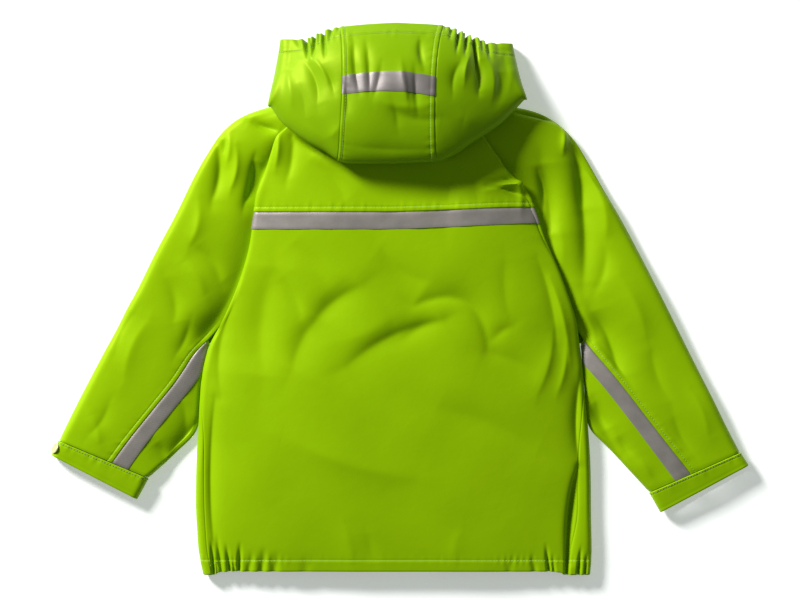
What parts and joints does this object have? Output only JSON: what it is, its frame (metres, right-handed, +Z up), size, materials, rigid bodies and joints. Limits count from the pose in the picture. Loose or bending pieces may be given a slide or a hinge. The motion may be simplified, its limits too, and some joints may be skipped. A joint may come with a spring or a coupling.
{
  "type": "kids rain jacket",
  "caption": "Child's hooded raglan rain jacket of coated cloth with reflective tapes, laid flat face down with its back up.",
  "frame": {"origin": "on the surface the jacket lies on, under the middle of its bounding box", "axes": "+Y from the hem to the hood, +X to the right as the back is seen from above, +Z up from the surface"},
  "size_m": [0.7654, 0.605, 0.0718],
  "materials": {
    "shell": "coated, low gloss",
    "reflective_tape": "retroreflective, satin",
    "stud": "gloss"
  },
  "bodies": {
    "root": {"back_panel": "shell", "back_yoke": "shell", "back_tape": "reflective_tape", "front_left": "shell", "front_right": "shell", "front_stud_1": "stud", "front_stud_2": "stud", "front_stud_3": "stud", "front_stud_4": "stud", "front_stud_5": "stud", "sleeve_left_outer": "shell", "sleeve_left_under": "shell", "sleeve_left_tape": "reflective_tape", "cuff_left": "shell", "cuff_left_stud": "stud", "sleeve_right_outer": "shell", "sleeve_right_under": "shell", "sleeve_right_tape": "reflective_tape", "cuff_right": "shell", "cuff_right_stud": "stud", "hood_left": "shell", "hood_centre": "shell", "hood_right": "shell", "hood_tape": "reflective_tape"}
  },
  "joints": []
}
